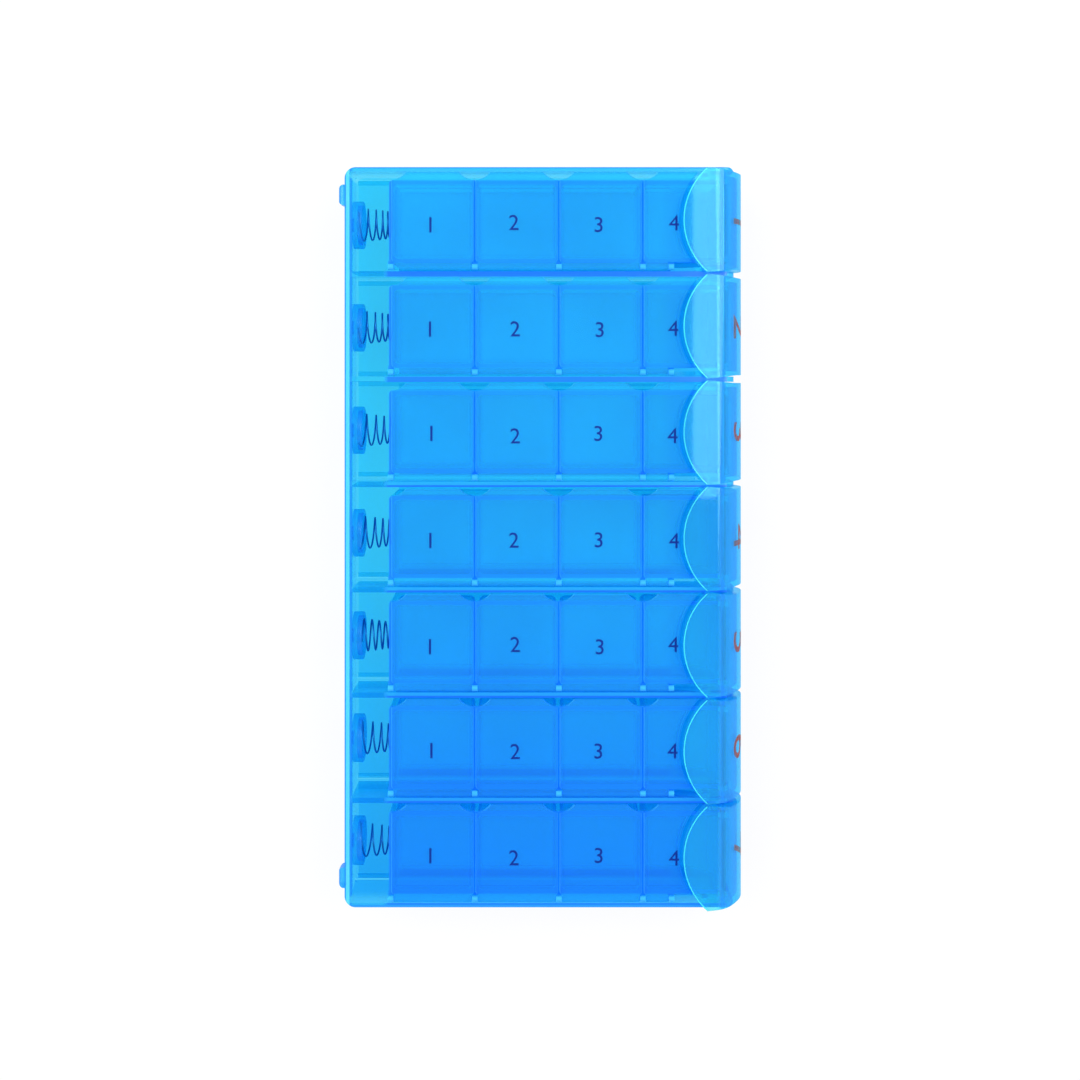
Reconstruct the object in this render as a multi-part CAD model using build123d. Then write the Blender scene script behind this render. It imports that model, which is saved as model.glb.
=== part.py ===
from build123d import *
import math
import os

os.makedirs("parts", exist_ok=True)

# A weekly pill organizer that lies flat: an open-topped case with seven slots, and in each slot
# a daily box that a spring pushes out to the front when its release latch is pressed.
# X runs from the rear wall to the noses of the boxes, Y along the row of days with day 1 at +Y,
# and Z up. The origin is under the middle of the whole object. Sizes are in millimetres.

# How many of each
row_count = 7
pocket_count = 4

# Clearances, and how far a cut runs past the face that it opens
run_gap = 0.3
cut_overrun = 1.0
pin_clearance = 0.05
peg_clearance = 0.05

# Case
slot_width = 29.1
divider_wall = 1.5
side_wall = 1.2
rear_wall = 1.4
rim_width = 2.0
rim_depth = 2.2
case_floor = 1.8
case_height = 25.0
wall_reach = 3.7
rear_corner_radius = 3.2
front_corner_radius = 2.0
wall_nose_radius = 3.0
rail_reach = 1.5
rail_height = 1.4
catch_reach = 1.2
catch_length = 1.5
catch_height = 2.6
catch_setback = 7.6

# Spring seats and eject springs
seat_radius = 7.1
seat_depth = 3.0
seat_recess_radius = 5.9
seat_recess_depth = 1.6
seat_height = 13.0
seat_edge_radius = 0.4
peg_radius = 2.0
peg_length = 0.7
spring_wire = 0.5
spring_coil_radius = 5.0
spring_front_radius = 3.9
spring_turns = 3.75
spring_showing = 8.45
spring_unevenness = 0.35
spring_bend_length = 0.9
spring_bend_turn = 15
spring_least_gap = 0.4

# Rear lugs, moulded on the case
lug_proud = 2.1
lug_width = 6.0
lug_height = 4.4
lug_below_rim = 2.4
lug_corner_radius = 1.4
lug_inset = 7.75

# Daily boxes
box_below_rim = 0.6
box_wall = 1.2
box_floor = 1.2
pocket_pitch = 24.4
last_pocket_length = 21.25
pocket_corner_radius = 1.6
pocket_foot_radius = 2.6
belly_radius = 13.0
box_edge_radius = 1.0
runner_thickness = 1.3
runner_reach = 1.9

# Lids and their hinges
lid_thickness = 1.2
lid_gap = 0.3
lid_side_gap = 0.2
lid_corner_radius = 1.2
lid_edge_radius = 0.35
lip_bowl_radius = 5.6
skirt_thickness = 0.8
skirt_depth = 0.8
skirt_gap = 0.4
hinge_radius = 1.0
hinge_pin_radius = 0.55
hinge_wall_gap = 0.2
hinge_divider_gap = 0.35
ear_thickness = 1.6
ear_gap = 0.15
stub_length = 0.7
last_ear_advance = 8.25

# Release latches and their pins
hood_rise = 4.1
hood_thickness = 1.2
hood_arc_radius = 20.0
hood_overhang = 15.4
hood_neighbour_gap = 0.2
hood_lid_gap = 0.75
hood_skirt_gap = 0.4
nose_proud = 2.9
nose_bend_start = 9.1
nose_bend_radius = 6.0
nose_bend_angle = 40
nose_chin_radius = 10.0
nose_chin_angle = 65
cheek_wall = 1.2
cheek_head = 1.2
cheek_gap = 0.4
wing_length = 4.0
wing_height = 2.1
latch_pin_radius = 0.75
latch_pin_ahead = 0.2
latch_pin_rise = 0.9
latch_barrel_radius = 1.5
latch_barrel_gap = 0.6
latch_pin_end = 0.4
hook_clearance = 0.1

# Places worked out from the sizes above
row_pitch = slot_width + divider_wall
case_width = row_count * slot_width + (row_count - 1) * divider_wall + 2 * side_wall
box_length = (pocket_count - 1) * pocket_pitch + last_pocket_length + 2 * box_wall
case_depth = rear_wall + seat_depth + spring_showing + box_length + wall_reach
case_rear = -(case_depth + nose_proud - lug_proud) / 2
case_front = case_rear + case_depth
rear_inside = case_rear + rear_wall
half_slot = slot_width / 2
side_room = hinge_wall_gap + 2 * hinge_radius + hinge_divider_gap
half_box = half_slot - side_room
lip_reach = side_room - run_gap
box_bottom = case_floor + run_gap
box_top = case_height - box_below_rim
seat_face = rear_inside + seat_depth
spring_back = seat_face - seat_recess_depth
box_back = seat_face + spring_showing
first_wall = box_back + box_wall / 2
last_wall = first_wall + (pocket_count - 1) * pocket_pitch
box_front = box_back + box_length
lid_under = box_top + lid_gap
lid_top = lid_under + lid_thickness
hinge_y = -(half_box + hinge_wall_gap + hinge_radius)
hinge_z = lid_top - hinge_radius
last_ear = last_wall + last_ear_advance
hood_top = lid_top + hood_rise
nose_tip = case_front + nose_proud
hood_back = case_front - hood_overhang
hood_arc_centre = hood_back + hood_arc_radius
half_hood = row_pitch / 2 - hood_neighbour_gap
half_nose = half_slot - cheek_gap
skirt_bottom = lid_top + hood_skirt_gap
latch_pin_x = box_front + latch_pin_ahead
latch_pin_z = box_top + latch_pin_rise
half_barrel = half_box - box_wall - latch_barrel_gap - pin_clearance
catch_front = case_front - catch_setback
catch_back = catch_front - catch_length
catch_bottom = hinge_z - hinge_radius - 2 * run_gap - catch_height
wing_top = catch_bottom - hook_clearance
rail_bottom = box_bottom + runner_thickness + run_gap


def row_y(row):
    """Middle of a slot, counted from day 1 at +Y."""
    return ((row_count - 1) / 2 - row) * row_pitch


def block(x, y, z):
    """Box between two limits on each axis."""
    size = (x[1] - x[0], y[1] - y[0], z[1] - z[0])
    middle = ((x[0] + x[1]) / 2, (y[0] + y[1]) / 2, (z[0] + z[1]) / 2)
    return Pos(*middle) * Box(*size)


def rod_y(x, z, radius, y):
    """Round bar along Y between two limits."""
    return Pos(x, (y[0] + y[1]) / 2, z) * Rot(90, 0, 0) * Cylinder(radius, y[1] - y[0])


def rod_x(y, z, radius, x):
    """Round bar along X between two limits."""
    return Pos((x[0] + x[1]) / 2, y, z) * Rot(0, 90, 0) * Cylinder(radius, x[1] - x[0])


def rod_z(x, y, radius, z):
    """Round bar along Z between two limits."""
    return Pos(x, y, (z[0] + z[1]) / 2) * Cylinder(radius, z[1] - z[0])


def side_prism(lines, y):
    """Solid between two Y limits whose side view, in X and Z, is a closed outline."""
    face = Plane.XZ * make_face(lines)
    solid = extrude(face, y[1] - y[0])
    return Pos(0, y[1], 0) * solid


def arc_point(centre, radius, degrees):
    """Point on a circle in a side view, the angle counted from forward towards up."""
    angle = math.radians(degrees)
    return (centre[0] + radius * math.cos(angle), centre[1] + radius * math.sin(angle))


def side_arc(centre, radius, start, end):
    """Arc in a side view from one angle to another."""
    middle = (start + end) / 2
    points = [arc_point(centre, radius, a) for a in (start, middle, end)]
    return ThreePointArc(*points)


# Case shell

def wall_outline(height):
    """Side view of a wall whose upper front corner is round."""
    front = case_front
    corner = (front - wall_nose_radius, height - wall_nose_radius)
    lines = [Line((case_rear, 0), (front, 0))]
    lines += [Line((front, 0), (front, corner[1]))]
    lines += [side_arc(corner, wall_nose_radius, 0, 90)]
    lines += [Line((corner[0], height), (case_rear, height))]
    lines += [Line((case_rear, height), (case_rear, 0))]
    return lines


def seat_peg_hole(row):
    depth = peg_length + peg_clearance
    return rod_x(row_y(row), seat_height, peg_radius + peg_clearance,
                 (rear_inside - depth, rear_inside + cut_overrun))


def rear_lug(side):
    """Small round-cornered lug near an end of the rear wall, rooted in the wall."""
    y = side * (case_width / 2 - lug_inset)
    half = lug_width / 2
    top = case_height - lug_below_rim
    pad = block((case_rear - lug_proud, case_rear + rear_wall / 2), (y - half, y + half),
                (top - lug_height, top))
    return fillet(pad.faces().sort_by(Axis.X)[0].edges(), lug_corner_radius)


def case_shell():
    half = case_width / 2
    outer = side_prism(wall_outline(case_height), (-half, half))
    plan = Pos((case_rear + case_front) / 2, 0, 0) * Rectangle(case_depth, case_width)
    corners = plan.vertices().sort_by(Axis.X)
    plan = fillet(corners[:2], rear_corner_radius)
    plan = fillet(plan.vertices().sort_by(Axis.X)[-2:], front_corner_radius)
    outer = outer & extrude(plan, case_height)
    ahead = case_front + cut_overrun
    for row in range(row_count):
        y = row_y(row)
        outer -= block((rear_inside, ahead), (y - half_slot, y + half_slot), (case_floor, case_height + cut_overrun))
    rim_inside = case_rear + rim_width
    rim_foot = case_height - rim_depth
    outer += block((case_rear + rear_corner_radius / 2, rim_inside),
                   (-half + rear_corner_radius, half - rear_corner_radius), (rim_foot, case_height))
    for row in range(row_count):
        for side in (-1, 1):
            outer += guide_rail(row, side)
            outer += catch_tooth(row, side)
        outer -= seat_peg_hole(row)
    for side in (-1, 1):
        outer += rear_lug(side)
    return outer


def span_to_wall(row, side, reach):
    """Y limits of something that stands out of a slot's wall by its reach."""
    wall = row_y(row) + side * half_slot
    inner = wall - side * reach
    root = wall + side * side_wall / 2
    return (min(inner, root), max(inner, root))


def guide_rail(row, side):
    front = case_front - wall_nose_radius
    return block((rear_inside - rear_wall / 2, front), span_to_wall(row, side, rail_reach),
                 (rail_bottom, rail_bottom + rail_height))


def catch_tooth(row, side):
    return block((catch_back, catch_front), span_to_wall(row, side, catch_reach),
                 (catch_bottom, catch_bottom + catch_height))


# Spring seats and eject springs

def spring_seat(row):
    y = row_y(row)
    cup = rod_x(y, seat_height, seat_radius, (rear_inside, seat_face))
    cup = fillet(cup.faces().sort_by(Axis.X)[-1].edges(), seat_edge_radius)
    cup -= rod_x(y, seat_height, seat_recess_radius, (spring_back, seat_face + cut_overrun))
    return cup + rod_x(y, seat_height, peg_radius, (rear_inside - peg_length, spring_back))


def biarc(start, start_way, end, end_way):
    """Two arcs that leave one point along a direction and reach another along a second one."""
    way = start_way + end_way
    gap = end - start
    a = 2 * (start_way.dot(end_way) - 1)
    b = -2 * gap.dot(way)
    c = gap.dot(gap)
    reach = c / (-b) if abs(a) < 1e-9 else (-b - math.sqrt(b * b - 4 * a * c)) / (2 * a)
    knee_in = start + start_way * reach
    knee_out = end - end_way * reach
    joint = (knee_in + knee_out) / 2
    joint_way = (knee_out - knee_in).normalized()
    return [TangentArc(start, joint, tangent=start_way), TangentArc(joint, end, tangent=joint_way)]


spring_front = box_back
helix_back = spring_back + spring_wire + spring_bend_length
helix_front = spring_front - spring_wire - spring_bend_length


def helix_point(turn):
    """Point of the coil and its direction: a narrowing circle that advances unevenly along X."""
    share = turn / spring_turns
    length = helix_front - helix_back
    swing = spring_unevenness / (2 * math.pi)
    x = helix_back + length * (share - swing * math.sin(2 * math.pi * share))
    rise = length * (1 - spring_unevenness * math.cos(2 * math.pi * share)) / spring_turns
    angle = 2 * math.pi * turn
    radius = spring_coil_radius + (spring_front_radius - spring_coil_radius) * share
    narrowing = (spring_front_radius - spring_coil_radius) / spring_turns
    around = 2 * math.pi * radius
    point = Vector(x, radius * math.cos(angle), radius * math.sin(angle))
    way = Vector(rise, narrowing * math.cos(angle) - around * math.sin(angle),
                 narrowing * math.sin(angle) + around * math.cos(angle))
    return point, way.normalized()


def end_point(x, radius, turn):
    angle = 2 * math.pi * turn
    return Vector(x, radius * math.cos(angle), radius * math.sin(angle))


def spring_path():
    """Straight end, bend, coil in quarter turns, bend and straight end."""
    forward = Vector(1, 0, 0)
    bend = spring_bend_turn / 360
    foot = end_point(spring_back, spring_coil_radius, -bend)
    knee = end_point(spring_back + spring_wire, spring_coil_radius, -bend)
    edges = [Line(foot, knee)]
    point, way = helix_point(0)
    edges += biarc(knee, forward, point, way)
    steps = round(spring_turns * 4)
    for step in range(steps):
        after, after_way = helix_point(spring_turns * (step + 1) / steps)
        edges += biarc(point, way, after, after_way)
        point, way = after, after_way
    knee = end_point(spring_front - spring_wire, spring_front_radius, spring_turns + bend)
    edges += biarc(point, way, knee, forward)
    edges += [Line(knee, end_point(spring_front, spring_front_radius, spring_turns + bend))]
    return Wire(edges)


def print_spring_gap(path):
    """Least distance from the wire to its own neighbouring turn, on points along the path."""
    count = 60 * math.ceil(spring_turns)
    points = [path.position_at(i / count) for i in range(count + 1)]
    apart = math.ceil(0.5 * count / spring_turns)
    least = min((points[i] - points[j]).length
                for i in range(len(points)) for j in range(i + apart, len(points)))
    print("eject spring: least gap to itself", round(least - spring_wire, 2), "mm, wanted over", spring_least_gap)


def eject_spring():
    path = spring_path()
    print_spring_gap(path)
    section = Plane(origin=path.position_at(0), z_dir=(1, 0, 0)) * Circle(spring_wire / 2)
    return sweep(section, path)


# Daily box

def box_outline(inset, top):
    """Side view of the box: flat bottom, round belly under the nose, upright front."""
    back = box_back + inset
    front = box_front - inset
    bottom = box_bottom + inset
    radius = belly_radius - inset
    centre = (front - radius, bottom + radius)
    lines = [Line((back, bottom), (centre[0], bottom))]
    lines += [side_arc(centre, radius, -90, 0)]
    lines += [Line((front, centre[1]), (front, top))]
    lines += [Line((front, top), (back, top))]
    lines += [Line((back, top), (back, bottom))]
    return lines


def pocket(index):
    """Hollow of one pocket, with round corners and a round foot."""
    back = first_wall + index * pocket_pitch + box_wall / 2
    front = back + pocket_pitch - box_wall
    inside = half_box - box_wall
    floor = box_bottom + box_floor
    if index == pocket_count - 1:
        front = box_front - box_wall
    hollow = block((back, front), (-inside, inside), (floor, box_top + cut_overrun))
    hollow = fillet(hollow.edges().filter_by(Axis.Z), pocket_corner_radius)
    if index == pocket_count - 1:
        belly = side_prism(box_outline(box_wall, box_top + cut_overrun), (-inside, inside))
        return hollow & belly
    return fillet(hollow.faces().sort_by(Axis.Z)[0].edges(), pocket_foot_radius)


def ear_places():
    walls = [first_wall + i * pocket_pitch for i in range(pocket_count)]
    return walls + [last_ear]


def hinge_ear(x):
    near = (x - ear_thickness / 2, x + ear_thickness / 2)
    ear = rod_x(hinge_y, hinge_z, hinge_radius, near)
    return ear + block(near, (hinge_y, -half_box + box_wall / 2), (hinge_z - hinge_radius, box_top))


def latch_ear(side):
    outer = side * half_box
    inner = side * (half_box - box_wall)
    y = (min(outer, inner), max(outer, inner))
    ear = rod_y(latch_pin_x, latch_pin_z, latch_barrel_radius, y)
    post = (latch_pin_x - latch_barrel_radius, latch_pin_x + latch_barrel_radius)
    return ear + block(post, y, (box_bottom + belly_radius, latch_pin_z))


def daily_box():
    body = side_prism(box_outline(0, box_top), (-half_box, half_box))
    upright = body.edges().filter_by(Axis.Z).group_by(Axis.X)[0]
    body = fillet(upright, box_edge_radius)
    for index in range(pocket_count):
        body -= pocket(index)
    low_front = (box_front - 2 * box_wall, nose_tip)
    body -= block(low_front, (-half_barrel - latch_barrel_gap, half_barrel + latch_barrel_gap),
                  (latch_pin_z - latch_barrel_radius - hook_clearance - run_gap, box_top + cut_overrun))
    strip = half_box + runner_reach
    belly_start = box_front - belly_radius
    for side in (-1, 1):
        near = side * (half_box - box_wall / 2)
        far = side * strip
        body += block((box_back + box_edge_radius, belly_start), (min(near, far), max(near, far)),
                      (box_bottom, box_bottom + runner_thickness))
        body += latch_ear(side)
    for x in ear_places():
        body += hinge_ear(x)
    for x in ear_places():
        body -= rod_x(hinge_y, hinge_z, hinge_pin_radius + pin_clearance,
                      (x - ear_thickness, x + ear_thickness))
    return body - rod_y(latch_pin_x, latch_pin_z, latch_pin_radius, (-half_slot, half_slot))


def latch_pin():
    end = half_box + latch_pin_end
    return rod_y(latch_pin_x, latch_pin_z, latch_pin_radius, (-end, end))


# Pocket lids

def lid_plan(index):
    """Outline of a lid's plate from above: thumb lip to +Y, round bowls at its ends."""
    back = first_wall + index * pocket_pitch + lid_side_gap
    front = first_wall + (index + 1) * pocket_pitch - lid_side_gap
    lip = half_box + lip_reach
    plate = block((back, front), (-half_box, lip), (lid_under, lid_top))
    plate = fillet(plate.edges().filter_by(Axis.Z).group_by(Axis.Y)[0], lid_corner_radius)
    bowl_y = half_box + lip_bowl_radius
    for x in (first_wall + index * pocket_pitch, first_wall + (index + 1) * pocket_pitch):
        plate -= rod_z(x, bowl_y, lip_bowl_radius, (0, hood_top))
    if index == pocket_count - 1:
        plate -= rod_z(hood_arc_centre, 0, hood_arc_radius + hood_lid_gap, (0, hood_top))
    return plate


def lid_skirt(index):
    """Thin rim under the plate that drops into the pocket's mouth."""
    back = first_wall + index * pocket_pitch + box_wall / 2 + skirt_gap
    front = first_wall + (index + 1) * pocket_pitch - box_wall / 2 - skirt_gap
    side = half_box - box_wall - skirt_gap
    height = (lid_under - skirt_depth, lid_under + lid_thickness / 2)
    outer = block((back, front), (-side, side), height)
    inner = block((back + skirt_thickness, front - skirt_thickness),
                  (-side + skirt_thickness, side - skirt_thickness), height)
    if index == pocket_count - 1:
        clear = hood_arc_radius + hood_lid_gap + skirt_gap
        outer -= rod_z(hood_arc_centre, 0, clear, (0, hood_top))
        inner -= rod_z(hood_arc_centre, 0, clear + skirt_thickness, (0, hood_top))
        corners = outer.edges().filter_by(Axis.Z).group_by(Axis.X)[0]
    else:
        corners = outer.edges().filter_by(Axis.Z)
    return fillet(corners, pocket_corner_radius - skirt_gap) - inner


def pocket_lid(index):
    ears = ear_places()
    back = ears[index] + ear_thickness / 2 + ear_gap
    front = ears[index + 1] - ear_thickness / 2 - ear_gap
    plate = lid_plan(index)
    rims = plate.faces().sort_by(Axis.Z)[-1].edges()
    plate = fillet(rims, lid_edge_radius)
    barrel = rod_x(hinge_y, hinge_z, hinge_radius, (back, front))
    leaf = block((back, front), (hinge_y, -half_box + lid_corner_radius), (lid_under, lid_top))
    pin = rod_x(hinge_y, hinge_z, hinge_pin_radius, (back - ear_gap - stub_length, front + ear_gap + stub_length))
    return plate + leaf + barrel + pin + lid_skirt(index)


# Release latch: D-shaped hood, round nose, cheeks with their wings, and the barrel

def nose_places():
    """Centres and radii of the three arcs that carry the top of the hood round to the chin."""
    bend = (case_front - nose_bend_start + nose_proud, hood_top - nose_bend_radius)
    bend_end = arc_point(bend, nose_bend_radius, nose_bend_angle)
    turn = math.radians(nose_bend_angle)
    face_radius = (nose_tip - bend_end[0]) / (1 - math.cos(turn))
    face = (nose_tip - face_radius, bend_end[1] - face_radius * math.sin(turn))
    chin = (nose_tip - nose_chin_radius, face[1])
    return bend, face, face_radius, chin


def nose_arcs(inset):
    """Side view of the latch's skin from the top of the hood to the chin."""
    bend, face, face_radius, chin = nose_places()
    arcs = [side_arc(bend, nose_bend_radius - inset, 90, nose_bend_angle)]
    arcs += [side_arc(face, face_radius - inset, nose_bend_angle, 0)]
    arcs += [side_arc(chin, nose_chin_radius - inset, 0, -nose_chin_angle)]
    return arcs


def skin_outline(back):
    """Closed side view of the skin: outer arcs, the chin's end, inner arcs and the back edge."""
    bend, face, face_radius, chin = nose_places()
    inner_top = hood_top - hood_thickness
    chin_out = arc_point(chin, nose_chin_radius, -nose_chin_angle)
    chin_in = arc_point(chin, nose_chin_radius - hood_thickness, -nose_chin_angle)
    lines = [Line((back, hood_top), (bend[0], hood_top))]
    lines += nose_arcs(0)
    lines += [Line(chin_out, chin_in)]
    lines += nose_arcs(hood_thickness)
    lines += [Line((bend[0], inner_top), (back, inner_top))]
    lines += [Line((back, inner_top), (back, hood_top))]
    return lines


def filled_outline(inset, back):
    """Closed side view of all that lies behind a skin that is inset from the latch's surface."""
    bend, face, face_radius, chin = nose_places()
    chin_end = arc_point(chin, nose_chin_radius - inset, -nose_chin_angle)
    lines = [Line((back, hood_top - inset), (bend[0], hood_top - inset))]
    lines += nose_arcs(inset)
    lines += [Line(chin_end, (back, chin_end[1]))]
    lines += [Line((back, chin_end[1]), (back, hood_top - inset))]
    return lines


def hood_plan():
    """The latch seen from above: arc at the back, sides that draw in to the width of a slot."""
    corner = hood_arc_centre - math.sqrt(hood_arc_radius ** 2 - half_hood ** 2)
    shoulder = case_front + run_gap
    ahead = nose_tip + cut_overrun
    arc = ThreePointArc((corner, -half_hood), (hood_back, 0), (corner, half_hood))
    lines = [arc, Line((corner, half_hood), (shoulder, half_nose))]
    lines += [Line((shoulder, half_nose), (ahead, half_nose))]
    lines += [Line((ahead, half_nose), (ahead, -half_nose))]
    lines += [Line((ahead, -half_nose), (shoulder, -half_nose))]
    lines += [Line((shoulder, -half_nose), (corner, -half_hood))]
    return extrude(make_face(lines), hood_top + cut_overrun)


def cheek(side, filled):
    """Side wall of the nose, with the wing that reaches back under the catch tooth."""
    back = catch_front + run_gap
    wing_back = catch_back - wing_length / 2
    wing_foot = wing_top - wing_height
    chin = box_front - box_wall
    roof = hood_top - hood_thickness / 2
    head = back - cheek_head
    points = [(head, roof), (head, skirt_bottom), (back, skirt_bottom)]
    points += [(back, wing_top), (wing_back, wing_top), (wing_back, wing_foot)]
    points += [(back + wing_length / 4, wing_foot), (chin, 0), (nose_tip, 0), (nose_tip, roof)]
    inner = side * (half_nose - cheek_wall)
    outer = side * half_nose
    lines = Polyline(*points, close=True)
    return side_prism(lines, (min(inner, outer), max(inner, outer))) & filled


def release_latch():
    behind = hood_back - cut_overrun
    skin = side_prism(skin_outline(behind), (-row_pitch, row_pitch))
    filled = side_prism(filled_outline(hood_thickness / 2, behind), (-row_pitch, row_pitch))
    ahead = catch_front + run_gap
    rim_top = hood_top - hood_thickness / 2
    rim = rod_z(hood_arc_centre, 0, hood_arc_radius + cut_overrun, (skirt_bottom, rim_top))
    rim -= rod_z(hood_arc_centre, 0, hood_arc_radius - hood_thickness, (0, hood_top + cut_overrun))
    rim = rim & block((behind, ahead), (-row_pitch, row_pitch), (0, hood_top))
    latch = (skin + rim) & hood_plan()
    for side in (-1, 1):
        inner = side * half_nose
        outer = side * row_pitch
        latch -= block((behind, case_front + run_gap), (min(inner, outer), max(inner, outer)),
                       (0, case_height + run_gap))
        latch += cheek(side, filled)
    web = block((latch_pin_x - latch_barrel_radius / 2, nose_tip), (-half_barrel, half_barrel),
                (latch_pin_z, hood_top)) & filled
    latch += web + rod_y(latch_pin_x, latch_pin_z, latch_barrel_radius, (-half_barrel, half_barrel))
    return latch - rod_y(latch_pin_x, latch_pin_z, latch_pin_radius + pin_clearance, (-half_slot, half_slot))


def write(shape, name):
    export_step(shape, "parts/" + name + ".step")


write(case_shell(), "case_shell")
write(Compound([spring_seat(row) for row in range(row_count)]), "spring_seats")

spring = eject_spring()
box = daily_box()
pin = latch_pin()
latch = release_latch()
lids = [pocket_lid(index) for index in range(pocket_count)]

for row in range(row_count):
    place = Pos(0, row_y(row), 0)
    day = str(row + 1)
    write(Pos(0, row_y(row), seat_height) * spring, "eject_spring_" + day)
    write(place * box, "daily_box_" + day)
    write(place * pin, "latch_pin_" + day)
    write(place * latch, "release_latch_" + day)
    for index in range(pocket_count):
        write(place * lids[index], "pocket_lid_" + day + "_" + str(index + 1))
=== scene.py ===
import bpy
import bmesh
import math
import numpy as np
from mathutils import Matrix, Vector


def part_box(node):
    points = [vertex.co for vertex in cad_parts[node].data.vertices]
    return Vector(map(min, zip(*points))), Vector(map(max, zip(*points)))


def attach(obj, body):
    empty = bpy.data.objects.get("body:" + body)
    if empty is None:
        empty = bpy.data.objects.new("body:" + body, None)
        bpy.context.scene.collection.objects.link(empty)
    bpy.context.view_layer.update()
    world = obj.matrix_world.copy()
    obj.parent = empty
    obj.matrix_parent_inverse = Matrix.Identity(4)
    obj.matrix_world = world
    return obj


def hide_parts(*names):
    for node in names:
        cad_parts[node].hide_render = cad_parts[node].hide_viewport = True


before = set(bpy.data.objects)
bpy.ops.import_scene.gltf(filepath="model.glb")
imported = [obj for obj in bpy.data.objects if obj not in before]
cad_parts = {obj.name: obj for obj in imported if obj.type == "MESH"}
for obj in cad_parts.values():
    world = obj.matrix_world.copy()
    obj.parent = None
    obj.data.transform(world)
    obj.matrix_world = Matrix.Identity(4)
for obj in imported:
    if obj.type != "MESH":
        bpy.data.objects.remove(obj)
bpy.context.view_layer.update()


# Case shell
# One tray of clear blue plastic, injection-moulded with seven slots, guide rails and rear lugs.
# Its floor lets the white table through, and its upright walls, seen along their depth, look deeper.

mm = 0.001


def set_sockets(shader, **values):
    """Writes plain values to a shader node's sockets; an underscore stands for a space."""
    for socket, value in values.items():
        shader.inputs[socket.replace("_", " ")].default_value = value
    return shader


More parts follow.
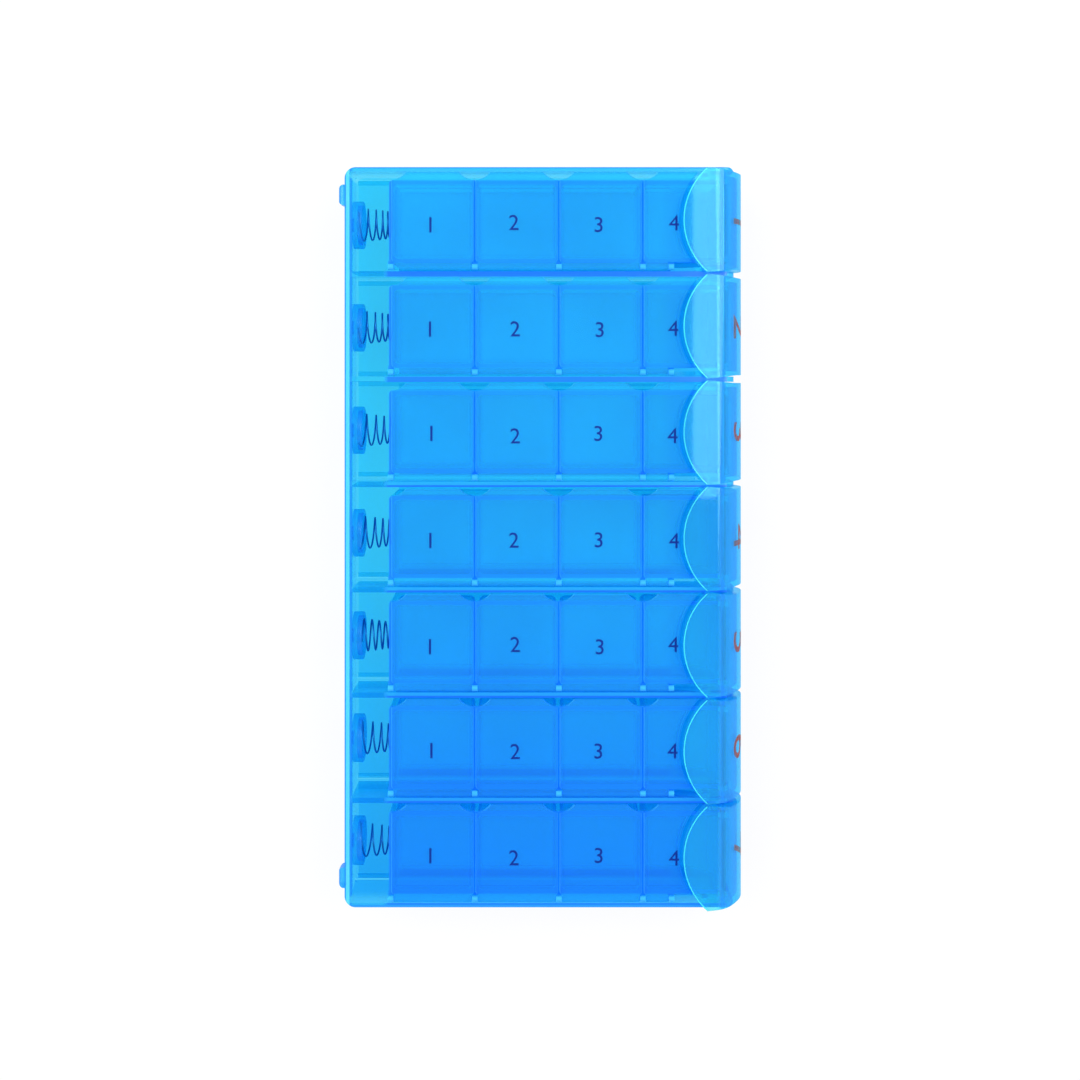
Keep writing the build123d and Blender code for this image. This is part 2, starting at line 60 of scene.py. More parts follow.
def clear_plastic(name, clear, marks, roughness, grain, gloss, gloss_roughness):
    """Clear blue moulded plastic on one surface: a share of the light passes with a tint, and the
    rest is scattered by the pigment, a fifth of it onwards. Clear holds that tint, pigment and
    share for the plain skin. Each mark holds limits and its own three values: for wall tops and
    walls, where more plastic lies along the eye's way, and for painted light and shade, such as
    painted highlights on cut edges, lit upper walls and painted shade towards day 7. Its mask is
    the product of straight ramps over the object's X, Y or Z in metres, its normal's x, or the size
    of its normal's z. Two noises give slow drift of the colours and a fine moulded grain, and a
    thin gloss rises from its face-on share to a third at grazing by the fifth power of facing."""
    material = bpy.data.materials.new(name)
    material.use_nodes = True
    tree = material.node_tree
    tree.nodes.clear()
    new = tree.nodes.new
    link = tree.links.new
    place = new("ShaderNodeTexCoord")
    position = new("ShaderNodeSeparateXYZ")
    link(place.outputs["Object"], position.inputs["Vector"])
    normal = new("ShaderNodeSeparateXYZ")
    link(place.outputs["Normal"], normal.inputs["Vector"])
    level = new("ShaderNodeMath")
    level.operation = "ABSOLUTE"
    link(normal.outputs["Z"], level.inputs[0])
    readings = {"x": position.outputs["X"], "y": position.outputs["Y"], "z": position.outputs["Z"],
                "nx": normal.outputs["X"], "level": level.outputs["Value"]}

    def mask(limits):
        product = None
        for reading, nothing, full in limits:
            ramp = set_sockets(new("ShaderNodeMapRange"), From_Min=nothing, From_Max=full)
            link(readings[reading], ramp.inputs["Value"])
            if product is None:
                product = ramp.outputs["Result"]
                continue
            times = new("ShaderNodeMath")
            times.operation = "MULTIPLY"
            link(product, times.inputs[0])
            link(ramp.outputs["Result"], times.inputs[1])
            product = times.outputs["Value"]
        return product

    def colour_towards(base, factor, colour):
        mix = new("ShaderNodeMix")
        mix.data_type = "RGBA"
        link(factor, mix.inputs["Factor"])
        link(base, mix.inputs[6])
        mix.inputs[7].default_value = colour + (1.0,)
        return mix.outputs[2]

    def slow_drift(colour, depth):
        drift = set_sockets(new("ShaderNodeTexNoise"), Scale=24.0, Detail=2.0, Roughness=0.5)
        link(place.outputs["Object"], drift.inputs["Vector"])
        shade = new("ShaderNodeValToRGB")
        low, high = shade.color_ramp.elements
        low.position = 0.35
        low.color = tuple(c * (1 - depth) for c in colour) + (1.0,)
        high.position = 0.65
        high.color = tuple(min(1.0, c * (1 + depth)) for c in colour) + (1.0,)
        link(drift.outputs["Fac"], shade.inputs["Fac"])
        return shade.outputs["Color"]

    clear_tint, clear_pigment, clear_share = clear
    tint = slow_drift(clear_tint, 0.015)
    pigment = slow_drift(clear_pigment, 0.05)
    share = None
    for limits, mark_tint, mark_pigment, mark_share in marks:
        factor = mask(limits)
        tint = colour_towards(tint, factor, mark_tint)
        pigment = colour_towards(pigment, factor, mark_pigment)
        step = set_sockets(new("ShaderNodeMix"), B=mark_share)
        link(factor, step.inputs["Factor"])
        if share is None:
            step.inputs["A"].default_value = clear_share
        else:
            link(share, step.inputs["A"])
        share = step.outputs["Result"]

    skin = set_sockets(new("ShaderNodeBsdfPrincipled"), Roughness=roughness, Specular_IOR_Level=0.2)
    link(pigment, skin.inputs["Base Color"])
    glow = new("ShaderNodeBsdfTranslucent")
    link(pigment, glow.inputs["Color"])
    if grain > 0:
        fine = set_sockets(new("ShaderNodeTexNoise"), Scale=1400.0, Detail=1.0)
        link(place.outputs["Object"], fine.inputs["Vector"])
        bump = set_sockets(new("ShaderNodeBump"), Strength=grain, Distance=0.05 * mm)
        link(fine.outputs["Fac"], bump.inputs["Height"])
        link(bump.outputs["Normal"], skin.inputs["Normal"])
    body = set_sockets(new("ShaderNodeMixShader"), Fac=0.2)
    link(skin.outputs["BSDF"], body.inputs[1])
    link(glow.outputs["BSDF"], body.inputs[2])
    through = new("ShaderNodeBsdfTransparent")
    link(tint, through.inputs["Color"])
    whole = new("ShaderNodeMixShader")
    link(share, whole.inputs["Fac"])
    link(body.outputs["Shader"], whole.inputs[1])
    link(through.outputs["BSDF"], whole.inputs[2])
    result = whole.outputs["Shader"]
    if gloss > 0:
        facing = set_sockets(new("ShaderNodeLayerWeight"), Blend=0.5)
        rise = new("ShaderNodeMath")
        rise.operation = "POWER"
        rise.inputs[1].default_value = 5.0
        link(facing.outputs["Facing"], rise.inputs[0])
        strength = set_sockets(new("ShaderNodeMapRange"), To_Min=gloss, To_Max=0.35)
        link(rise.outputs["Value"], strength.inputs["Value"])
        shine = set_sockets(new("ShaderNodeBsdfAnisotropic"), Roughness=gloss_roughness)
        shine.inputs["Color"].default_value = (0.45, 0.9, 1.0, 1.0)
        coated = new("ShaderNodeMixShader")
        link(strength.outputs["Result"], coated.inputs["Fac"])
        link(result, coated.inputs[1])
        link(shine.outputs["BSDF"], coated.inputs[2])
        result = coated.outputs["Shader"]
    output = new("ShaderNodeOutputMaterial")
    link(result, output.inputs["Surface"])
    return material


def dress(node, material):
    """Gives a CAD node its finish."""
    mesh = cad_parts[node].data
    mesh.materials.clear()
    mesh.materials.append(material)


case_low, case_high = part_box("case_shell")
box_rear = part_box("daily_box_4")[0].x
hood_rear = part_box("release_latch_4")[0].x
row_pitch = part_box("daily_box_1")[0].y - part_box("daily_box_2")[0].y
lug_proud = 2.1 * mm
rear_face = case_low.x + lug_proud
clear_blue = ((0.21, 0.81, 1.0), (0.05, 0.68, 1.0), 0.94)
case_painted_shade_blue = ((0.15, 0.68, 0.99), (0.03, 0.46, 1.0), 0.93)
deep_blue = ((0.1, 0.6, 1.0), (0.022, 0.3, 1.0), 0.35)
upper_wall_painted_light = ((0.32, 0.86, 1.0), (0.07, 0.66, 1.0), 0.7)
wall_blue = ((0.42, 0.9, 1.0), (0.07, 0.72, 1.0), 0.91)
rail_blue = ((0.62, 0.94, 1.0), (0.1, 0.8, 1.0), 0.95)
front_blue = ((0.17, 0.74, 1.0), (0.04, 0.56, 1.0), 0.93)
lug_blue = ((0.3, 0.84, 1.0), (0.05, 0.58, 1.0), 0.5)
divider_blue = ((0.08, 0.5, 1.0), (0.015, 0.2, 1.0), 0.32)
rim_painted_highlight = ((0.46, 0.92, 1.0), (0.14, 0.8, 1.0), 0.5)
far_edge_blue = ((0.2, 0.8, 1.0), (0.035, 0.5, 1.0), 0.5)
rear_blue = ((0.2, 0.78, 1.0), (0.045, 0.55, 1.0), 0.75)
far_day, near_day = 0.0, case_low.y
soft, thin_soft = 0.2 * mm, 0.15 * mm
rim_line, rim_highlight_width, rim_width = 0.3 * mm, 1.3 * mm, 2.1 * mm
far_line, near_line, far_wall = 0.25 * mm, 0.6 * mm, 1.3 * mm
rail_low, rail_high = 3.0 * mm, 5.8 * mm
front_fade, painted_light_depth = 4 * mm, 5 * mm
near_wall, near_wall_fade = 2 * mm, 1 * mm
lug_edge, lug_fade = 0.1 * mm, 0.3 * mm
wall_top = ("z", case_high.z - 0.15 * mm, case_high.z - 0.05 * mm)
upright = ("level", 0.6, 0.2)
beside_boxes = ("x", box_rear - 1.5 * mm, box_rear)

# From first to last: below the hoods, the painted shade towards day 7, the upright walls and the
# painted light on their upper part, the rails, the rear wall's outer skin, the tops of the dividers
# and of the far wall, the rear rim with its painted highlight line, the dark lines round the rim,
# the lugs and their edges.
case_marks = [
    ([("x", hood_rear - front_fade, hood_rear)], *front_blue),
    # Painted shade: the case darker towards day 7.
    ([("y", far_day, near_day)], *case_painted_shade_blue),
    ([upright, ("y", case_low.y + near_wall, case_low.y + near_wall + near_wall_fade)], *wall_blue),
    # Painted light: the upper part of the upright walls lighter.
    ([upright, ("z", case_high.z - 2 * painted_light_depth, case_high.z - painted_light_depth)], *upper_wall_painted_light),
    ([("z", rail_low - soft, rail_low), ("z", rail_high + soft, rail_high), ("level", 0.2, 0.6)],
     *rail_blue),
    ([("x", rear_face + rim_line + thin_soft, rear_face + rim_line)], *rear_blue),
    ([wall_top, beside_boxes], *divider_blue),
    ([wall_top, ("y", case_high.y - far_wall - soft, case_high.y - far_wall)], *far_edge_blue),
    ([wall_top, ("x", rear_face + rim_width + soft, rear_face + rim_width)], *deep_blue),
    # Painted highlight: the bright line along the rear rim.
    ([wall_top, ("x", rear_face + rim_highlight_width + soft, rear_face + rim_highlight_width)], *rim_painted_highlight),
    ([wall_top, ("y", case_high.y - far_line - thin_soft, case_high.y - far_line)], *deep_blue),
    ([wall_top, ("y", case_low.y + near_line + thin_soft, case_low.y + near_line)], *deep_blue),
    ([wall_top, ("x", rear_face + rim_line + thin_soft, rear_face + rim_line)], *deep_blue),
    ([("x", rear_face, rear_face - lug_fade)], *lug_blue),
    ([("x", rear_face - lug_edge, rear_face - lug_fade), ("level", 0.9, 0.4)], *deep_blue),
]

# The four nearer dividers show their dark line on the near half of their tops alone.
for rows_from_middle in (0.5, -0.5, -1.5, -2.5):
    divider_y = rows_from_middle * row_pitch
    near_half_ends = ("y", divider_y - 0.25 * mm, divider_y - 0.05 * mm)
    far_face = ("y", divider_y + 0.95 * mm, divider_y + 0.75 * mm)
    case_marks.append(([wall_top, beside_boxes, near_half_ends, far_face], *far_edge_blue))
case_plastic = clear_plastic("case_clear_blue", clear_blue, case_marks, roughness=0.3, grain=0.0,
                             gloss=0.03, gloss_roughness=0.12)
dress("case_shell", case_plastic)


# Spring seats
# Deeper blue cups pressed on the inside of the rear wall, one behind each daily box.
# Each holds the wide end of its eject spring.

seat_blue = ((0.26, 0.83, 1.0), (0.07, 0.62, 1.0), 0.8)
seat_marks = [([("level", 0.95, 0.3)], (0.22, 0.8, 1.0), (0.055, 0.6, 1.0), 0.78)]
seat_plastic = clear_plastic("seat_deep_blue", seat_blue, seat_marks, roughness=0.35, grain=0.0,
                             gloss=0.02, gloss_roughness=0.2)
dress("spring_seats", seat_plastic)


# Eject springs
# Cone-shaped coils of thin steel wire, each cut and wound a little differently.
# The wide end stands in the cup on the rear wall and the narrow end presses on the daily box.

def tube_along(path, radius, sides):
    """Vertices and faces of a round tube. Each ring is a circle about a point of the path, in the
    plane across its tangent; the ring's first axis is the part of +Z that is square to the tangent
    or, where the path runs upright, of +X. Each end is closed by one face."""
    tangent = np.gradient(path, axis=0)
    tangent /= np.linalg.norm(tangent, axis=1, keepdims=True)
    guide = np.where(np.abs(tangent[:, 2:3]) < 0.95, np.array([[0, 0, 1.0]]), np.array([[1.0, 0, 0]]))
    first = guide - tangent * np.sum(guide * tangent, axis=1, keepdims=True)
    first /= np.linalg.norm(first, axis=1, keepdims=True)
    second = np.cross(tangent, first)
    angle = np.linspace(0, 2 * np.pi, sides, endpoint=False)
    ring = np.cos(angle)[None, :, None] * first[:, None] + np.sin(angle)[None, :, None] * second[:, None]
    points = (path[:, None] + radius * ring).reshape(-1, 3)
    count = len(path)
    step, side = np.meshgrid(np.arange(count - 1), np.arange(sides), indexing="ij")
    after = (side + 1) % sides
    faces = np.stack([step * sides + side, step * sides + after,
                      (step + 1) * sides + after, (step + 1) * sides + side], axis=-1).reshape(-1, 4)
    faces = faces.tolist() + [list(range(sides))[::-1], list(range((count - 1) * sides, count * sides))]
    return points, faces


def new_piece(name, points, faces, material, body, smooth=True):
    """Mesh object at the origin that rides on a body."""
    mesh = bpy.data.meshes.new(name)
    mesh.from_pydata([tuple(p) for p in points], [], faces)
    mesh.materials.append(material)
    mesh.polygons.foreach_set("use_smooth", [smooth] * len(mesh.polygons))
    mesh.update()
    piece = bpy.data.objects.new(name, mesh)
    bpy.context.scene.collection.objects.link(piece)
    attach(piece, body)
    return piece


def drawn_steel(name, colour, roughness):
    """Drawn wire or pin: metal with fine drawing marks, which one noise gives in tone and height."""
    material = bpy.data.materials.new(name)
    material.use_nodes = True
    tree = material.node_tree
    metal = tree.nodes["Principled BSDF"]
    set_sockets(metal, Metallic=1.0, Roughness=roughness)
    place = tree.nodes.new("ShaderNodeTexCoord")
    marks = set_sockets(tree.nodes.new("ShaderNodeTexNoise"), Scale=1800.0, Detail=2.0)
    tree.links.new(place.outputs["Object"], marks.inputs["Vector"])
    tone = tree.nodes.new("ShaderNodeValToRGB")
    tone.color_ramp.elements[0].color = tuple(0.8 * c for c in colour) + (1.0,)
    tone.color_ramp.elements[1].color = tuple(1.15 * c for c in colour) + (1.0,)
    tree.links.new(marks.outputs["Fac"], tone.inputs["Fac"])
    tree.links.new(tone.outputs["Color"], metal.inputs["Base Color"])
    bump = set_sockets(tree.nodes.new("ShaderNodeBump"), Strength=0.2, Distance=0.01 * mm)
    tree.links.new(marks.outputs["Fac"], bump.inputs["Height"])
    tree.links.new(bump.outputs["Normal"], metal.inputs["Normal"])
    return material


def spring_line(low, high, wire, turns, crowding, lean, start):
    """Centre line of a cone spring between the corners of its CAD solid. Along X it advances as
    share times one plus crowding, less crowding times share squared, so the front turns lie closer.
    Its radius falls evenly from the wide to the narrow end. Lean tips each turn: its upper half
    moves back in X by the lean, or forward where the lean is negative."""
    share = np.linspace(0, 1, steps_per_turn * math.ceil(turns) + 1)
    angle = 2 * np.pi * (turns * share + start)
    wide = (high.z - low.z - wire) / 2
    narrow = front_share * wide
    radius = wide + (narrow - wide) * share
    advance = (share * (1 + crowding) - crowding * share ** 2)
    back = low.x + wire / 2 + abs(lean)
    length = high.x - low.x - wire - 2 * abs(lean)
    x = back + length * advance - lean * np.sin(angle)
    y = (low.y + high.y) / 2 + radius * np.cos(angle)
    z = (low.z + high.z) / 2 + radius * np.sin(angle)
    return np.stack([x, y, z], axis=1)


days = range(1, 8)
spring_wire = 0.5 * mm
steps_per_turn = 48
front_share = 0.76
turn_between_days = 0.13
# The wire's blue tone is a painted reflection of the blue plastic round it.
spring_steel = drawn_steel("spring_steel", (0.02, 0.2, 0.5), 0.45)
spring_forms = [(4.9, 0.55, -0.1), (4.6, 0.45, -0.05), (3.8, 0.35, -0.1), (3.9, 0.4, -0.15),
                (4.2, 0.25, -0.45), (3.8, 0.4, -0.1), (3.6, 0.45, 0.0)]
for day in days:
    turns, crowding, lean = spring_forms[day - 1]
    low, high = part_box("eject_spring_%d" % day)
    line = spring_line(low, high, spring_wire, turns, crowding, lean * mm, turn_between_days * day)
    points, faces = tube_along(line, spring_wire / 2, 12)
    coil = new_piece("eject_coil_%d" % day, points, faces, spring_steel, "case")
    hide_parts("eject_spring_%d" % day)


# Daily boxes
# Seven trays of frosted blue plastic with four round-cornered pockets each and ears for the lids.
# They are moulded a little duller than the case, and their thin walls show as deeper outlines.
# The rounded pocket corners and the boxes towards day 7 carry painted shade.

plate_and_gap = 1.5 * mm
box_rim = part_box("pocket_lid_4_2")[1].z - plate_and_gap
soft_blue = ((0.3, 0.86, 1.0), (0.07, 0.66, 1.0), 0.8)
box_painted_shade_blue = ((0.27, 0.87, 1.0), (0.07, 0.6, 1.0), 0.8)
ear_blue = ((0.45, 0.95, 1.0), (0.1, 0.8, 1.0), 0.6)
far_side_blue = ((0.55, 0.95, 1.0), (0.1, 0.78, 1.0), 0.93)
hinge_side_blue = ((0.3, 0.86, 1.0), (0.06, 0.64, 1.0), 0.72)
runner_blue = ((0.6, 0.95, 1.0), (0.1, 0.8, 1.0), 0.94)
box_half = 12.0 * mm
box_wall, ear_foot, runner_top = 1.3 * mm, 1.0 * mm, 3.5 * mm
side_skin, hinge_soft = 0.1 * mm, 0.3 * mm
above_runner = ("z", 4 * mm, 8 * mm)
pocket_outline_and_shade_blue = ((0.2, 0.82, 1.0), (0.045, 0.54, 1.0), 0.7)
box_crest = [("z", box_rim - 0.2 * mm, box_rim - 0.05 * mm), ("z", box_rim + 0.4 * mm, box_rim + 0.2 * mm)]
for day in days:
    low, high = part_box("release_latch_%d" % day)
    far_side = (low.y + high.y) / 2 + box_half
    hinge_side = far_side - 2 * box_half
    box_marks = [
        # Painted shade: darker towards day 7.
        ([("y", far_day, near_day)], *box_painted_shade_blue),
        # Deeper pocket walls and fillets: the plastic seen along the thin walls, with painted shade on the
        # rounded fillets.
        ([("level", 0.97, 0.4)], *pocket_outline_and_shade_blue),
        ([("y", far_side - box_wall - soft, far_side - box_wall), above_runner], *far_side_blue),
        ([("y", hinge_side + side_skin + hinge_soft, hinge_side + side_skin), above_runner],
         *hinge_side_blue),
        ([("y", far_side + side_skin, far_side + side_skin + soft),
          ("z", runner_top + side_skin, runner_top)], *runner_blue),
        (box_crest, *deep_blue),
        ([("z", box_rim + ear_foot, box_rim + ear_foot + soft)], *ear_blue),
    ]
    box_plastic = clear_plastic("box_%d_frosted_blue" % day, soft_blue, box_marks, roughness=0.4,
                                grain=0.2, gloss=0.0, gloss_roughness=0.2)
    dress("daily_box_%d" % day, box_plastic)


# Pocket lids
# Twenty-eight frosted plates with stub hinges and a thumb lip, four on each daily box.
# A dark blue numeral for the time of day is printed on each, a hair proud of the plate.

lid_blue = ((0.4, 0.9, 1.0), (0.085, 0.7, 1.0), 0.87)
lid_painted_shade_blue = ((0.34, 0.84, 1.0), (0.065, 0.54, 1.0), 0.87)
lid_light_and_shade_marks = [
    # Painted shade: darker towards day 7.
    ([("y", far_day, near_day)], *lid_painted_shade_blue),
    # Painted shade on faces turned towards the front, painted light on faces turned towards the rear.
    ([("nx", 0.2, 0.6)], (0.1, 0.66, 1.0), (0.025, 0.36, 1.0), 0.5),
    ([("nx", -0.2, -0.6)], (0.34, 0.9, 1.0), (0.09, 0.7, 1.0), 0.65),
]
lid_plastic = clear_plastic("lid_frosted_blue", lid_blue, lid_light_and_shade_marks, roughness=0.45, grain=0.25,
                            gloss=0.0, gloss_roughness=0.2)


def printing_ink(name, colour):
    """Pad-printed ink: a flat colour broken by fine uneven cover, with a dull sheen."""
    material = bpy.data.materials.new(name)
    material.use_nodes = True
    tree = material.node_tree
    ink = set_sockets(tree.nodes["Principled BSDF"], Roughness=0.6, Specular_IOR_Level=0.15)
    place = tree.nodes.new("ShaderNodeTexCoord")
    cover = set_sockets(tree.nodes.new("ShaderNodeTexNoise"), Scale=2500.0, Detail=2.0)
    tree.links.new(place.outputs["Object"], cover.inputs["Vector"])
    tone = tree.nodes.new("ShaderNodeValToRGB")
    tone.color_ramp.elements[0].position = 0.3
    tone.color_ramp.elements[0].color = tuple(0.8 * c for c in colour) + (1.0,)
    tone.color_ramp.elements[1].position = 0.7
    tone.color_ramp.elements[1].color = tuple(1.2 * c for c in colour) + (1.0,)
    tree.links.new(cover.outputs["Fac"], tone.inputs["Fac"])
    tree.links.new(tone.outputs["Color"], ink.inputs["Base Color"])
    return material


def numeral_mesh(text, height, thickness, strips):
    """Flat numeral of a given height about its own middle, in X and Y, with its thickness in Z.
    The outline is made a mesh, cut across into strips of equal height so that it can follow a
    curved face, and returned as an array of points and a list of faces."""
    curve = bpy.data.curves.new("numeral", "FONT")
    curve.body = text
    curve.size = 1.0
    curve.extrude = 0.5
    curve.resolution_u = 6
    holder = bpy.data.objects.new("numeral", curve)
    mesh = bpy.data.meshes.new_from_object(holder)
    bpy.data.objects.remove(holder)
    form = bmesh.new()
    form.from_mesh(mesh)
    bmesh.ops.remove_doubles(form, verts=form.verts, dist=1e-5)
    lowest = min(v.co.y for v in form.verts)
    highest = max(v.co.y for v in form.verts)
    for strip in range(1, strips):
        level = lowest + (highest - lowest) * strip / strips
        geometry = form.verts[:] + form.edges[:] + form.faces[:]
        bmesh.ops.bisect_plane(form, geom=geometry, plane_co=(0, level, 0), plane_no=(0, 1, 0))
    form.verts.index_update()
    points = np.array([v.co for v in form.verts])
    faces = [[v.index for v in f.verts] for f in form.faces]
    form.free()
    bpy.data.meshes.remove(mesh)
    middle = (points.min(axis=0) + points.max(axis=0)) / 2
    scale = height / (highest - lowest)
    return (points - middle) * np.array([scale, scale, thickness]), faces


pockets = range(1, 5)
lid_ink = printing_ink("lid_ink_navy", (0.0, 0.02, 0.22))
numeral_height = 4.4 * mm
ink_thickness = 0.06 * mm
ink_proud = 0.03 * mm
numeral_back, numeral_down = 0.6 * mm, 0.6 * mm
last_numeral_in = 9.3 * mm
slip_along, slip_across = 0.25 * mm, 0.35 * mm
for pocket in pockets:
    flat, faces = numeral_mesh(str(pocket), numeral_height, ink_thickness, 1)
    for day in days:
        lid = "pocket_lid_%d_%d" % (day, pocket)
        dress(lid, lid_plastic)
        low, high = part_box(lid)
        middle_y = (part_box("daily_box_%d" % day)[0].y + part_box("daily_box_%d" % day)[1].y) / 2
        middle_x = (low.x + high.x) / 2
        if pocket == 4:
            middle_x = low.x + last_numeral_in
        slip_x = slip_along * math.sin(2.1 * day + 1.3 * pocket)
        slip_y = slip_across * math.sin(1.7 * day + 2.9 * pocket)
        place = np.array([middle_x - numeral_back + slip_x, middle_y - numeral_down + slip_y,
                          high.z + ink_proud - ink_thickness / 2])
        new_piece("lid_numeral_%d_%d" % (day, pocket), flat + place, faces, lid_ink,
                  "lid_%d_%d" % (day, pocket), smooth=False)


# Latch pins
# Straight steel pins pressed through the front ears of each daily box.
# The release latch turns on them.

pin_steel = drawn_steel("pin_steel", (0.5, 0.53, 0.58), 0.25)
for day in days:
    dress("latch_pin_%d" % day, pin_steel)


# Release latches
# Glossy clear blue presses: a D-shaped hood over the front pocket that bends down into a round nose.
# The cut edge of the hood carries a painted highlight, a fine pale line laid on as a thin tube,
# and a red numeral is printed on the front of each nose.

hood_blue = ((0.48, 0.96, 1.0), (0.08, 0.76, 1.0), 0.87)
nose_blue = ((0.14, 0.8, 1.0), (0.015, 0.46, 1.0), 0.72)
bend_start, bend_fade = 50.1 * mm, 6.0 * mm
nose_painted_shade_streak = ((0.1, 0.72, 1.0), (0.015, 0.4, 1.0), 0.66)
latch_marks = [
    ([("x", bend_start, bend_start + bend_fade)], *nose_blue),
    # Painted shade: a darker streak across the nose where its face turns a little towards the front.
    ([("nx", 0.22, 0.3), ("nx", 0.5, 0.4)], *nose_painted_shade_streak),
]
latch_plastic = clear_plastic("latch_clear_blue", hood_blue, latch_marks, roughness=0.2, grain=0.0,
                              gloss=0.05, gloss_roughness=0.035)
painted_edge_highlight = ((0.6, 0.97, 1.0), (0.35, 0.95, 1.0), 0.15)
edge_highlight_marks = [([("level", 0.5, 0.0)], *painted_edge_highlight)]
edge_highlight_plastic = clear_plastic("latch_lit_edge", painted_edge_highlight, edge_highlight_marks, roughness=0.2, grain=0.0,
                             gloss=0.05, gloss_roughness=0.1)
nose_ink = printing_ink("nose_ink_red", (0.3, 0.035, 0.02))


def hood_edge_line(low, high, middle_y, radius):
    """Centre line of the edge's painted highlight: the hood's arc from one side to the other, a circle
    of the given radius whose rearmost point is the latch's own, just under the hood's top face."""
    half = (high.y - low.y) / 2 - edge_radius
    reach = math.asin(half / radius)
    angle = np.linspace(-reach, reach, 61)
    x = low.x + radius - (radius - edge_radius) * np.cos(angle)
    y = middle_y + (radius - edge_radius) * np.sin(angle)
    z = np.full_like(x, high.z - edge_radius)
    return np.stack([x, y, z], axis=1)


def wrap_on_nose(flat, centre_x, centre_z, radius, start, middle_y):
    """Bends a flat numeral round the nose. Its width runs towards -Y and its height down the face,
    as an angle below start about the face's centre; its thickness is added to the radius."""
    angle = start - flat[:, 1] / radius
    far = radius + flat[:, 2]
    return np.stack([centre_x + far * np.cos(angle), middle_y - flat[:, 0],
                     centre_z + far * np.sin(angle)], axis=1)


edge_radius = 0.16 * mm
hood_arc = 20.0 * mm
face_radius = 19.25 * mm
face_drop = 14.52 * mm
nose_numeral_height = 11.0 * mm
nose_numeral_middle = math.radians(18)
for day in days:
    latch = "release_latch_%d" % day
    dress(latch, latch_plastic)
    low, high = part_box(latch)
    middle_y = (low.y + high.y) / 2
    # A thin pale tube along the arc: the painted highlight of the cut edge.
    points, faces = tube_along(hood_edge_line(low, high, middle_y, hood_arc), edge_radius, 10)
    new_piece("hood_edge_%d" % day, points, faces, edge_highlight_plastic, "latch_%d" % day)
    flat, faces = numeral_mesh(str(day), nose_numeral_height, ink_thickness, 14)
    bent = wrap_on_nose(flat, high.x - face_radius, high.z - face_drop, face_radius - ink_thickness / 2,
                        nose_numeral_middle, middle_y)
    new_piece("nose_numeral_%d" % day, bent, faces, nose_ink, "latch_%d" % day,
              smooth=False)


# Floor, light and camera
# A plain white floor, soft light from above and the photograph's straight-down view.
# A small lamp to the front stands for the glare that lies on the first three hoods.

def white_floor():
    """Pale floor that the camera sees as nearly white, with the object's shadow kept in part."""
    material = bpy.data.materials.new("studio_floor_white")
    material.use_nodes = True
    tree = material.node_tree
    tree.nodes.clear()
    new = tree.nodes.new
    link = tree.links.new
    matt = set_sockets(new("ShaderNodeBsdfDiffuse"), Color=(0.86, 0.86, 0.86, 1.0))
    bright = set_sockets(new("ShaderNodeEmission"), Color=(1.0, 1.0, 1.0, 1.0), Strength=1.0)
    path = new("ShaderNodeLightPath")
    seen = new("ShaderNodeMath")
    seen.operation = "MAXIMUM"
    link(path.outputs["Is Camera Ray"], seen.inputs[0])
    link(path.outputs["Is Glossy Ray"], seen.inputs[1])
    through = new("ShaderNodeMath")
    through.operation = "MAXIMUM"
    link(seen.outputs["Value"], through.inputs[0])
    link(path.outputs["Is Transmission Ray"], through.inputs[1])
    share = new("ShaderNodeMath")
    share.operation = "MULTIPLY"
    share.inputs[1].default_value = 0.9
    link(through.outputs["Value"], share.inputs[0])
    mix = new("ShaderNodeMixShader")
    link(share.outputs["Value"], mix.inputs["Fac"])
    link(matt.outputs["BSDF"], mix.inputs[1])
    link(bright.outputs["Emission"], mix.inputs[2])
    output = new("ShaderNodeOutputMaterial")
    link(mix.outputs["Shader"], output.inputs["Surface"])
    return material


floor_half = 3.0
floor_level = -0.05 * mm
floor_mesh = bpy.data.meshes.new("studio_floor")
corners = [(-floor_half, -floor_half, floor_level), (floor_half, -floor_half, floor_level),
           (floor_half, floor_half, floor_level), (-floor_half, floor_half, floor_level)]
floor_mesh.from_pydata(corners, [], [(0, 1, 2, 3)])
floor_mesh.materials.append(white_floor())
floor = bpy.data.objects.new("studio_floor", floor_mesh)
bpy.context.scene.collection.objects.link(floor)


def soft_box(name, place, aim, size, power):
    """Rectangular lamp at a place, facing a point."""
    lamp = bpy.data.lights.new(name, "AREA")
    lamp.shape = "RECTANGLE"
    lamp.size = size[0]
    lamp.size_y = size[1]
    lamp.energy = power
    holder = bpy.data.objects.new(name, lamp)
    holder.location = place
    way = Vector(aim) - Vector(place)
    holder.rotation_euler = way.to_track_quat("-Z", "Y").to_euler()
    bpy.context.scene.collection.objects.link(holder)


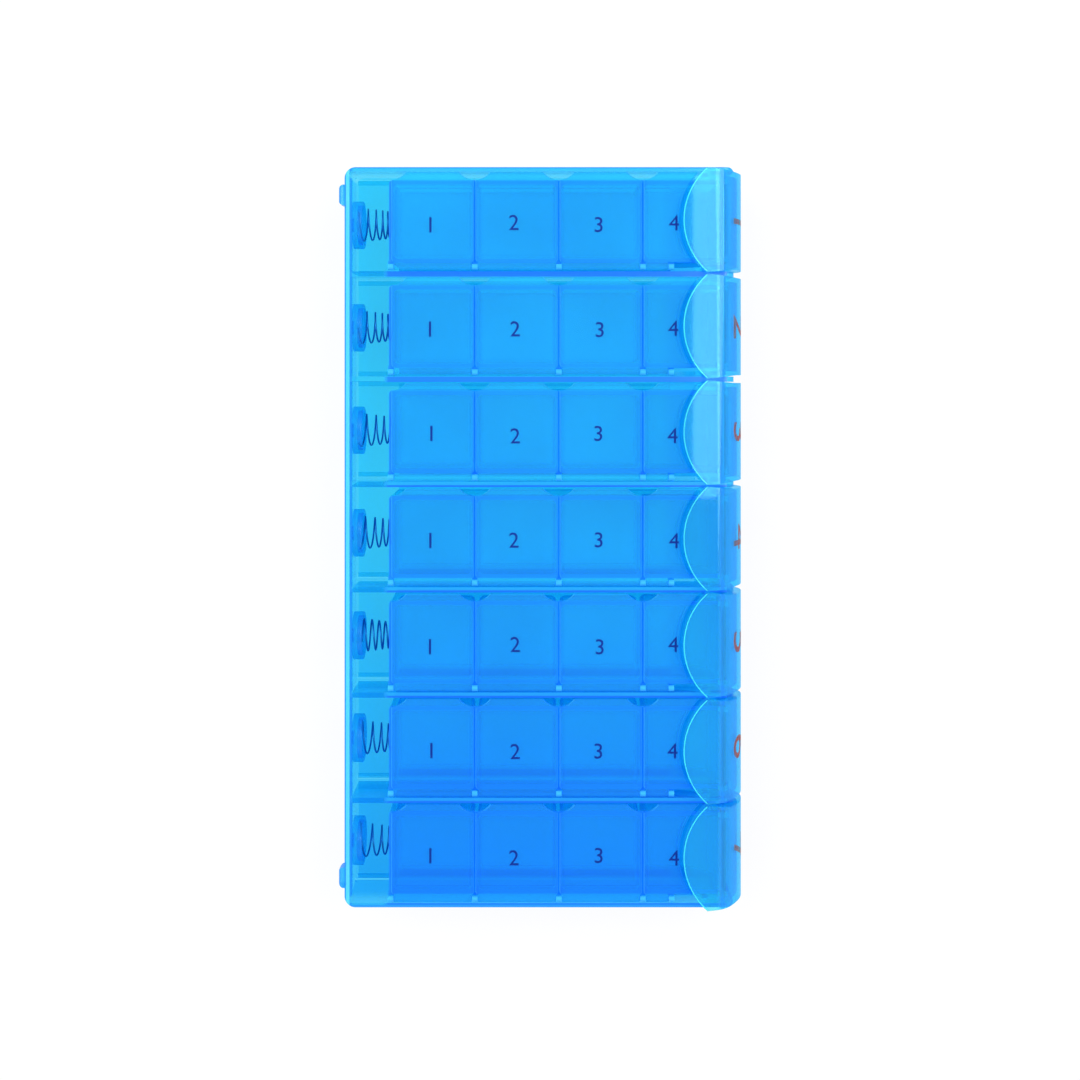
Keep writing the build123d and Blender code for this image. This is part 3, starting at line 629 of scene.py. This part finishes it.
soft_box("overhead_left", (-0.9, 0.5, 1.3), (0, 0, 0), (1.2, 1.2), 18)
soft_box("overhead_right", (0.9, 0.5, 1.4), (0, 0, 0), (1.2, 1.2), 14)
soft_box("hood_glare", (0.195, 0.075, 0.46), (0.195, 0.075, 0), (0.21, 0.2), 0.37)

world = bpy.data.worlds.new("studio_world")
world.use_nodes = True
sky = world.node_tree
way = sky.nodes.new("ShaderNodeTexCoord")
up = sky.nodes.new("ShaderNodeSeparateXYZ")
sky.links.new(way.outputs["Generated"], up.inputs["Vector"])
dome = set_sockets(sky.nodes.new("ShaderNodeMapRange"), From_Min=0.8, From_Max=0.93, To_Min=0.8, To_Max=0.1)
sky.links.new(up.outputs["Z"], dome.inputs["Value"])
looked_at = sky.nodes.new("ShaderNodeLightPath")
seen_white = sky.nodes.new("ShaderNodeMath")
seen_white.operation = "MAXIMUM"
sky.links.new(dome.outputs["Result"], seen_white.inputs[0])
sky.links.new(looked_at.outputs["Is Camera Ray"], seen_white.inputs[1])
sky.nodes["Background"].inputs["Color"].default_value = (1.0, 1.0, 1.0, 1.0)
sky.links.new(seen_white.outputs["Value"], sky.nodes["Background"].inputs["Strength"])
bpy.context.scene.world = world

photo_side = 1080
nadir_pixel = (533, 371)
nadir_x, nadir_y = -2.35 * mm, 48.3 * mm
metres_per_pixel = 0.29 * mm
camera_distance = 430 * mm
lid_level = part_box("pocket_lid_4_2")[1].z
sensor = 36.0
camera_data = bpy.data.cameras.new("photo_camera")
camera_data.sensor_width = sensor
camera_data.lens = sensor * camera_distance / (metres_per_pixel * photo_side)
camera_data.shift_x = (photo_side / 2 - nadir_pixel[0]) / photo_side
camera_data.shift_y = -(photo_side / 2 - nadir_pixel[1]) / photo_side
camera = bpy.data.objects.new("photo_camera", camera_data)
camera.location = (nadir_x, nadir_y, lid_level + camera_distance)
bpy.context.scene.collection.objects.link(camera)
bpy.context.scene.camera = camera
bpy.context.scene.view_settings.view_transform = "Standard"
bpy.context.scene.cycles.transparent_max_bounces = 40
